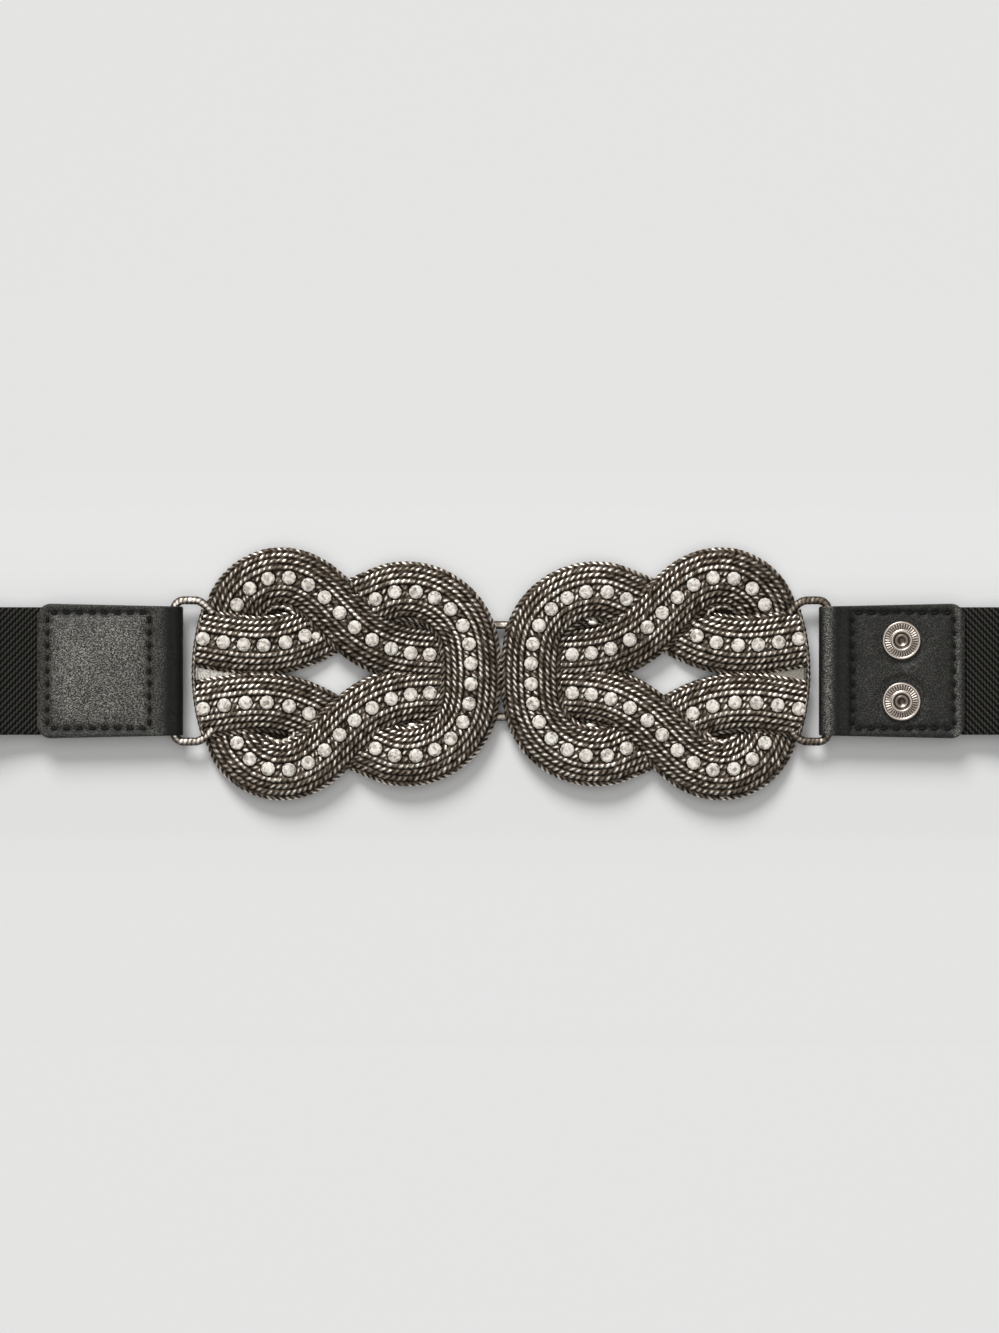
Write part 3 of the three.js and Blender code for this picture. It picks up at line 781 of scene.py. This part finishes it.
for side_name, side in (("left", -1), ("right", 1)):
    for strand in ("outer", "upper", "lower"):
        rows = [stone_places(row, side) for row in STONE_ROWS]
        seats = np.concatenate([places for carrier, places in rows if carrier == strand])
        band = rope_band(f"{side_name}_{strand}_strand", strand_route(strand, side), seats,
                         STRAND_WIPED[strand], silver)
        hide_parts(f"{side_name}_knot")
        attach(band, "root")


# Ends of the castings
# Where each half meets its tab the ropes stop at a sandy plate, edged by one twisted wire.
# A rectangular ring of wire for the tab is soldered on behind it.
PLATE = {"x": (74, 91.2), "y": (-9, 9), "z": (4.4, 6.3)}
END_WIRE = {"radius": 0.6, "arc": 62, "x": 92.2, "half": 18.9, "z": 7.9, "wiped_and_lit": 0.4}
RING = {"radius": 1.2, "corner": 3.0, "half": 21.2, "z": 7.0}
# The right ring and plate are drawn darker than the left ones
RING_LIGHTNESS = {"left": 0.62, "right": 0.3}
PLATE_LIGHTNESS = {"left": 0.9, "right": 0.15}
RING_STATIONS = [(86.5, 17.2), (88.6, 19.6), (90.8, 21.0), (93.0, RING["half"])]
WIRE_SPACING = 0.25
GRIT_PER_MM = 1.9


def wire(name, route, radius, wiped_and_lit, closed=False, ridge=0.0, pitch=1.0, sides=12):
    """A silvered wire, wiped and lit by a painted highlight along its top, with painted shade down its
    sides; its ridges wind once round it in two pitches.
    """
    along, across, stand = frames(route, closed)
    turn = np.linspace(0, 2 * math.pi, sides + 1)
    winding = 2 * math.pi * along_route(route) / pitch
    wave = ridge * np.abs(np.cos(turn[None, :] - winding[:, None] / 2)) - ridge / 2
    reach = radius + wave
    reach[:, -1] = reach[:, 0]
    # Lighter along the top: partly wiped metal, partly painted highlight; the sides keep painted shade
    lit_top = np.clip(np.sin(turn), 0, 1)[None, :] ** 2
    lift = np.clip(wiped_and_lit * lit_top + 0.35 * wave / max(ridge, 0.01), 0, 1)
    spots = (route[:, None] + across[:, None] * (reach * np.cos(turn))[:, :, None]
             + stand[:, None] * (reach * np.sin(turn))[:, :, None])
    return shell(name, spots, silver, sharp=180, relief=lift)


def block(bm, low, high, bevel):
    """A bevelled block between two corners, in millimetres."""
    size = [b - a for a, b in zip(low, high)]
    middle = [(a + b) / 2 for a, b in zip(low, high)]
    matrix = Matrix.Translation(Vector(middle) * MM) @ Matrix.Diagonal((*[s * MM for s in size], 1))
    made = bmesh.ops.create_cube(bm, size=1, matrix=matrix)["verts"]
    edges = list({edge for vert in made for edge in vert.link_edges})
    bmesh.ops.bevel(bm, geom=edges, offset=bevel * MM, affect="EDGES", segments=3, profile=0.5,
                    material=-1)


def ends(low, high, side):
    """Two corners of a block on one side of the joint, lowest first."""
    xs = sorted((side * low[0], side * high[0]))
    return (xs[0], *low[1:]), (xs[1], *high[1:])


# Sand-cast plate: pale grey plating over a fine sandy skin, lighter by each piece's relief value. The grit
# is drawn at half a millimetre, about twice its real size, to show
sanded, sanded_tree, sanded_shader = new_material("sandy_cast_plate")
sand_spot = add(sanded_tree, "ShaderNodeTexCoord")
sand = add(sanded_tree, "ShaderNodeTexVoronoi", {
    "Vector": sand_spot.outputs["Object"], "Scale": GRIT_PER_MM / MM})
sand_lightness = add(sanded_tree, "ShaderNodeAttribute", attribute_name="relief")
sand_top = add(sanded_tree, "ShaderNodeMix", {
    0: sand_lightness.outputs["Fac"], COLOUR_A: linear("#6f695f"), COLOUR_B: linear("#fbf8f2")},
    data_type="RGBA")
sand_colour = add(sanded_tree, "ShaderNodeMix", {
    0: sand.outputs["Distance"], COLOUR_A: sand_top.outputs[MIXED_COLOUR], COLOUR_B: linear("#8d867c")},
    data_type="RGBA")
sand_bump = add(sanded_tree, "ShaderNodeBump", {
    "Height": sand.outputs["Distance"], "Strength": 0.6, "Distance": 0.2 * MM})
sanded_tree.links.new(sand_colour.outputs[MIXED_COLOUR], sanded_shader.inputs["Base Color"])
sanded_tree.links.new(sand_bump.outputs[0], sanded_shader.inputs["Normal"])
sanded_shader.inputs["Metallic"].default_value = 0.6
sanded_shader.inputs["Roughness"].default_value = 0.5

for side_name, side in (("left", -1), ("right", 1)):
    bm = bmesh.new()
    low, high = ends(*zip(PLATE["x"], PLATE["y"], PLATE["z"]), side)
    block(bm, low, high, bevel=0.3)
    bmesh.ops.translate(bm, vec=(0, -KNOT_DROP * MM, 0), verts=bm.verts)
    relief_layer = bm.verts.layers.float.new("relief")
    for vert in bm.verts:
        vert[relief_layer] = PLATE_LIGHTNESS[side_name]
    plate = show(bm, f"{side_name}_end_plate", sanded)

    ys = np.linspace(-END_WIRE["half"], END_WIRE["half"], 130)
    xs = END_WIRE["x"] - END_WIRE["arc"] + np.sqrt(END_WIRE["arc"] ** 2 - ys ** 2)
    end_route = np.stack([side * xs, ys - KNOT_DROP / 2, np.full_like(ys, END_WIRE["z"])], axis=1)
    end_wire = wire(f"{side_name}_end_wire", end_route, END_WIRE["radius"], END_WIRE["wiped_and_lit"],
                    ridge=0.2, pitch=1.9)

    centre = (BAR_X - RING["corner"], RING["half"] - RING["corner"])
    corner = arc(*centre, RING["corner"], 90, 0, steps=10)
    upper = [(x, y, RING["z"]) for x, y in RING_STATIONS + corner]
    lower = [(x, -y, z) for x, y, z in reversed(upper)]
    ring_route = smooth_route([(side * x, y, z) for x, y, z in upper + lower], WIRE_SPACING)
    ring = wire(f"{side_name}_ring", ring_route, RING["radius"], RING_LIGHTNESS[side_name],
                ridge=0.08, pitch=1.3, sides=16)
    for piece in (plate, end_wire, ring):
        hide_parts(f"{side_name}_knot")
        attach(piece, "root")


# Eyes
# The eye of each curl is closed low down by a thin dark web, painted shade for the deep eye, and
# edged by one more rope. A small oval bead sits in three of the eyes of the loops.
EYE = {"x": 66.5, "y": 14.8, "reach": 5.5, "rope": 0.75, "rope_lift": 1.0, "wiped_and_lit": 0.6}
EYE_SHADE_WEB = {"radius": 6.5, "z": 3.4, "thick": 0.8}
EYE_LEVELS = [
    # degrees round the eye, level of the knot
    (150, 0.95), (125, 0.95), (100, 0.95), (75, 0.85), (50, 0.65), (25, 0.35), (0, 0.0), (-15, 0.0),
]
EYE_BEADS = [
    # half, x, y
    (-1, 26.6, -15.4),
    (1, 27.6, 15.3),
    (1, 26.9, -15.5),
]
BEAD_HALVES = (1.6, 0.75, 0.6)
BEAD_Z = 6.6
BEAD_WIPED_AND_LIT = 0.9

for side_name, side in (("left", -1), ("right", 1)):
    bm = bmesh.new()
    for sign in (1, -1):
        middle = Vector((side * EYE["x"], sign * EYE["y"] - KNOT_DROP, EYE_SHADE_WEB["z"]))
        bmesh.ops.create_cone(bm, cap_ends=True, segments=40, radius1=EYE_SHADE_WEB["radius"] * MM,
                              radius2=EYE_SHADE_WEB["radius"] * MM, depth=EYE_SHADE_WEB["thick"] * MM,
                              matrix=Matrix.Translation(middle * MM))
    for half, x, y in EYE_BEADS:
        if half == side:
            place = Matrix.Translation(Vector((side * x, y - KNOT_DROP, BEAD_Z)) * MM)
            size = Matrix.Diagonal((*[value * MM for value in BEAD_HALVES], 1))
            bmesh.ops.create_uvsphere(bm, u_segments=16, v_segments=10, radius=1, matrix=place @ size)
    # Bead tops lighter, partly wiped and partly painted highlight; bead undersides and the webs take the
    # full blackening as painted shade
    relief_layer = bm.verts.layers.float.new("relief")
    for vert in bm.verts:
        vert[relief_layer] = BEAD_WIPED_AND_LIT if vert.co.z > (BEAD_Z - 0.2) * MM else 0.0
    eyes = show(bm, f"{side_name}_curl_shade_webs_and_beads", silver)
    pieces = [eyes]
    for sign, place in ((1, "upper"), (-1, "lower")):
        rope_route = []
        for angle, level in EYE_LEVELS:
            x = EYE["x"] + EYE["reach"] * math.cos(math.radians(angle))
            y = EYE["y"] + EYE["reach"] * math.sin(math.radians(angle))
            z = LOW_Z + (HIGH_Z - LOW_Z) * level + EYE["rope_lift"]
            rope_route.append((side * x, sign * y - KNOT_DROP, z))
        pieces.append(wire(f"{side_name}_{place}_eye_rope", smooth_route(rope_route, WIRE_SPACING),
                           EYE["rope"], EYE["wiped_and_lit"], ridge=0.25, pitch=1.9))
    for piece in pieces:
        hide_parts(f"{side_name}_knot")
        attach(piece, "root")


# Clasp
# A rectangle of wire links the halves: two lugs behind the left half hold its near side, and
# its far side lies in a hook behind the right half. Plain metal, plated, the wire a little wiped.
LINK = {"radius": 1.2, "half_length": 9, "half_height": 13.8, "corner": 2.0, "z": 4.2, "wiped_and_lit": 0.61}
LUG = {"half_length": 2.2, "y": (5, 9), "z": (5.25, 6.4), "wrap": 1.75, "bore": 1.0}
HOOK = {"half": 5, "post": (5.4, 7.3), "foot": 12.2, "bottom": 1.9, "foot_top": 2.9, "top": 6.6}

outline = []
for x, y, start in ((1, 1, 0), (-1, 1, 90), (-1, -1, 180), (1, -1, 270)):
    centre_x = x * (LINK["half_length"] - LINK["corner"])
    centre_y = y * (LINK["half_height"] - LINK["corner"])
    corner = arc(centre_x, centre_y, LINK["corner"], start, start + 90, steps=8)
    outline += [(corner_x, corner_y, LINK["z"]) for corner_x, corner_y in corner]
link_route = np.array(outline + outline[:1])
link = wire("clasp_wire", link_route, LINK["radius"], LINK["wiped_and_lit"], closed=True, sides=14)
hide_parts("clasp_loop")
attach(link, "root")

bm = bmesh.new()
for sign in (1, -1):
    y_low, y_high = sorted((sign * LUG["y"][0], sign * LUG["y"][1]))
    low = (-LINK["half_length"] - LUG["half_length"], y_low, LUG["z"][0])
    high = (-LINK["half_length"] + LUG["half_length"], y_high, LUG["z"][1])
    block(bm, low, high, bevel=0.25)
    wire_middle = Vector((-LINK["half_length"], (y_low + y_high) / 2, LINK["z"]))
    facing = Matrix.Translation(wire_middle * MM) @ Matrix.Rotation(math.pi / 2, 4, "X")
    outer, inner = [bmesh.ops.create_circle(bm, segments=24, radius=radius * MM, matrix=facing)["verts"]
                    for radius in (LUG["wrap"], LUG["bore"])]
    rim = [edge for edge in bm.edges
           if any(all(vert in circle for vert in edge.verts) for circle in (outer, inner))]
    washer = bmesh.ops.bridge_loops(bm, edges=rim)["faces"]
    moved = bmesh.ops.extrude_face_region(bm, geom=washer)["geom"]
    verts = [item for item in moved if isinstance(item, bmesh.types.BMVert)]
    bmesh.ops.translate(bm, vec=(0, (y_high - y_low) * MM, 0), verts=verts)
    wrap = {vert for face in washer for vert in face.verts} | set(verts)
    bmesh.ops.translate(bm, vec=(0, -(y_high - y_low) / 2 * MM, 0), verts=list(wrap))
bmesh.ops.recalc_face_normals(bm, faces=bm.faces)
# The lugs, like the hook below, carry no relief value, so they take the sandy plate's darkest tone: painted
# shade under the buckle
lugs = show(bm, "left_clasp_lugs", sanded)
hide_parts("left_knot")

bm = bmesh.new()
start, end = HOOK["post"]
block(bm, (start, -HOOK["half"], HOOK["bottom"] + 0.2), (end, HOOK["half"], HOOK["top"]), bevel=0.3)
block(bm, (start, -HOOK["half"], HOOK["bottom"]), (HOOK["foot"], HOOK["half"], HOOK["foot_top"]), bevel=0.3)
hook = show(bm, "right_clasp_hook", sanded)
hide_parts("right_knot")
for piece in (lugs, hook):
    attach(piece, "root")


# Stones
# Round flat-backed crystals, foiled behind, set by hand in the channel of each band. Their
# mottled white is a painted reflection: each facet is drawn lighter or darker than the next.
STONE_RADIUS = 2.13
STONE_SEAT = 3.2
STONE_TIERS = [
    # share of the radius, height above the seat, turn in degrees
    (0.97, 0.0, 0),
    (1.0, 0.5, 0),
    (0.86, 0.85, 18),
    (0.62, 1.02, 0),
]
STONE_SIDES = 10
SMALL_STONE = {"row": "left_bar_upper", "x": 55.6, "y": 11.3, "seat": 3.7, "share": 0.58}
FLECK_SIZE = 1.0 * MM
GLITTER = random.Random(7)

# Foiled crystal: milky white from above, each facet painted lighter or darker than the next as a
# painted reflection of the room, with small dark flecks painted for the room's shadows in the foil
crystal, crystal_tree, crystal_shader = new_material("foiled_crystal")
facet_reflection = add(crystal_tree, "ShaderNodeAttribute", attribute_name="facet_reflection")
stone_spot = add(crystal_tree, "ShaderNodeTexCoord")
flecks = add(crystal_tree, "ShaderNodeTexVoronoi", {
    "Vector": stone_spot.outputs["Object"], "Scale": 1 / FLECK_SIZE})
fleck_tone = add(crystal_tree, "ShaderNodeSeparateColor", {0: flecks.outputs["Color"]})
stone_tone = add(crystal_tree, "ShaderNodeMath", {
    0: fleck_tone.outputs[0], 1: 1.2, 2: facet_reflection.outputs["Fac"]}, operation="MULTIPLY_ADD")
stone_light = add(crystal_tree, "ShaderNodeMapRange", {
    "Value": stone_tone.outputs[0], "From Min": 0.2, "From Max": 1.5})
crystal_colour = add(crystal_tree, "ShaderNodeMix", {
    0: stone_light.outputs[0], COLOUR_A: linear("#847b70"), COLOUR_B: linear("#f3ede3")},
    data_type="RGBA")
crystal_tree.links.new(crystal_colour.outputs[MIXED_COLOUR], crystal_shader.inputs["Base Color"])
crystal_shader.inputs["Roughness"].default_value = 0.15
crystal_shader.inputs["Coat Weight"].default_value = 0.4
crystal_shader.inputs["Coat Roughness"].default_value = 0.03


def set_stone(bm, place):
    """One faceted stone, as the hull of its tiers of corners."""
    corners = []
    for share, height, turn in STONE_TIERS:
        tier = Matrix.Translation((0, 0, height * MM)) @ Matrix.Rotation(math.radians(turn), 4, "Z")
        made = bmesh.ops.create_circle(bm, segments=STONE_SIDES, radius=STONE_RADIUS * share * MM,
                                       matrix=place @ tier)
        corners += made["verts"]
    bmesh.ops.convex_hull(bm, input=corners)


for side_name, side in (("left", -1), ("right", 1)):
    for row in STONE_ROWS:
        strand, places = stone_places(row, side)
        route = strand_route(strand, side)
        along, across, stand = frames(route)
        bm = bmesh.new()
        settings = [(place, 1.0, route[place] + stand[place] * STONE_SEAT) for place in places]
        if f"{side_name}_{row}" == SMALL_STONE["row"]:
            x, y = side * SMALL_STONE["x"], SMALL_STONE["y"] - KNOT_DROP
            nearest = np.argmin(np.hypot(route[:, 0] - x, route[:, 1] - y))
            seat = (x, y, route[nearest, 2] + SMALL_STONE["seat"])
            settings.append((nearest, SMALL_STONE["share"], seat))
        for place, share, seat in settings:
            turn = Matrix([along[place], -across[place], stand[place]]).transposed().to_4x4()
            spin = Matrix.Rotation(GLITTER.uniform(0, math.pi), 4, "Z")
            set_stone(bm, Matrix.Translation(Vector(seat) * MM) @ turn @ spin @ Matrix.Scale(share, 4))
        # Each facet gets its own painted reflection, a random lightness
        facet_layer = bm.faces.layers.float.new("facet_reflection")
        for face in bm.faces:
            face[facet_layer] = GLITTER.random()
        bmesh.ops.recalc_face_normals(bm, faces=bm.faces)
        stones = show(bm, f"{side_name}_{row}_crystals", crystal)
        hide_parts(f"{side_name}_stones_{row}")
        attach(stones, "root")


# Snaps
# Two pressed nickel caps on the right tab, each with a rolled rim, a ring of fine radial
# ridges, a raised ring and a dimple. The post and the flat back are hidden.
SNAP_GAP = 0.3
SNAP_SKIN = ELASTIC_THICK / 2 + GLUE_LINE + LEATHER + SNAP_GAP
SNAP_BACK = [
    # radius, depth below the tab's underside
    (0, 1.3), (4.7, 1.3), (5.0, 1.0), (5.0, 0), (1.9, 0),
]
SNAP_CAP = [
    # radius, height above the tab's face
    (1.9, 0), (5.5, 0), (5.8, 0.3), (5.75, 0.75), (5.45, 0.95), (5.1, 0.85),
    (4.95, 0.75), (3.3, 0.9), (3.1, 1.1), (2.85, 1.2), (2.6, 1.1), (2.4, 0.6),
    (2.1, 0.5), (1.9, 0.75), (1.6, 1.0), (1.3, 0.85), (1.0, 0.55), (0, 0.45),
]
SNAP_PROFILE = [(radius, -SNAP_SKIN - depth) for radius, depth in SNAP_BACK]
SNAP_PROFILE += [(radius, SNAP_SKIN + height) for radius, height in SNAP_CAP]

# The profile's edge with the ridges, their radii, number and height
RIDGE_EDGE = 11
RIDGE_BAND = (3.45, 4.9)
RIDGE_CUTS = 9
RIDGE_STEPS = 6
RIDGES = 36
RIDGE_HEIGHT = 0.13

# Heights above the tab's face where the brown film starts to thin and ends
HOLLOW = (0.55, 1.05)
FILM_PER_MM = 0.5

# Pressed nickel: bright where it is rubbed, with a brown film left in the pressing's hollows
nickel, nickel_tree, nickel_shader = new_material("pressed_nickel")
nickel_spot = add(nickel_tree, "ShaderNodeTexCoord")
film = add(nickel_tree, "ShaderNodeTexNoise", {
    "Vector": nickel_spot.outputs["Object"], "Scale": FILM_PER_MM / MM, "Detail": 4.0})
hollow = add(nickel_tree, "ShaderNodeAttribute", attribute_name="relief")
rubbed = add(nickel_tree, "ShaderNodeMath", {
    0: film.outputs[0], 1: 0.15, 2: hollow.outputs["Fac"]}, operation="MULTIPLY_ADD")
nickel_colour = add(nickel_tree, "ShaderNodeMix", {
    0: rubbed.outputs[0], COLOUR_A: linear("#3a3029"), COLOUR_B: linear("#d6cbc0")}, data_type="RGBA")
nickel_tree.links.new(nickel_colour.outputs[MIXED_COLOUR], nickel_shader.inputs["Base Color"])
nickel_shader.inputs["Metallic"].default_value = 1.0
nickel_shader.inputs["Roughness"].default_value = 0.34

for snap_name, snap_y in (("snap_upper", SNAP_Y), ("snap_lower", -SNAP_Y)):
    bm = bmesh.new()
    profile = [bm.verts.new(Vector((radius, 0, height)) * MM) for radius, height in SNAP_PROFILE]
    edges = [bm.edges.new(pair) for pair in zip(profile, profile[1:])]
    bmesh.ops.subdivide_edges(bm, edges=edges[RIDGE_EDGE:RIDGE_EDGE + 1], cuts=RIDGE_CUTS)
    bmesh.ops.spin(bm, geom=bm.verts[:] + bm.edges[:], cent=(0, 0, 0), axis=(0, 0, 1),
                   angle=2 * math.pi, steps=RIDGES * RIDGE_STEPS, use_merge=True)
    bmesh.ops.remove_doubles(bm, verts=bm.verts, dist=1e-6)
    relief_layer = bm.verts.layers.float.new("relief")
    for vert in bm.verts:
        radius = math.hypot(vert.co.x, vert.co.y) / MM
        height = vert.co.z / MM
        vert[relief_layer] = float(np.interp(height - SNAP_SKIN, HOLLOW, (0.0, 1.0)))
        if RIDGE_BAND[0] < radius < RIDGE_BAND[1] and height > SNAP_SKIN:
            wave = math.cos(RIDGES * math.atan2(vert.co.y, vert.co.x))
            vert.co.z += RIDGE_HEIGHT * wave * MM
            vert[relief_layer] = 0.45 + 0.45 * wave
    bmesh.ops.translate(bm, vec=Vector((SNAP_X, snap_y, MID_Z)) * MM, verts=bm.verts)
    bmesh.ops.recalc_face_normals(bm, faces=bm.faces)
    snap = show(bm, f"{snap_name}_cap", nickel)
    snap.data.shade_smooth()
    snap.data.set_sharp_from_angle(angle=math.radians(60))
    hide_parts(snap_name)
    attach(snap, "root")
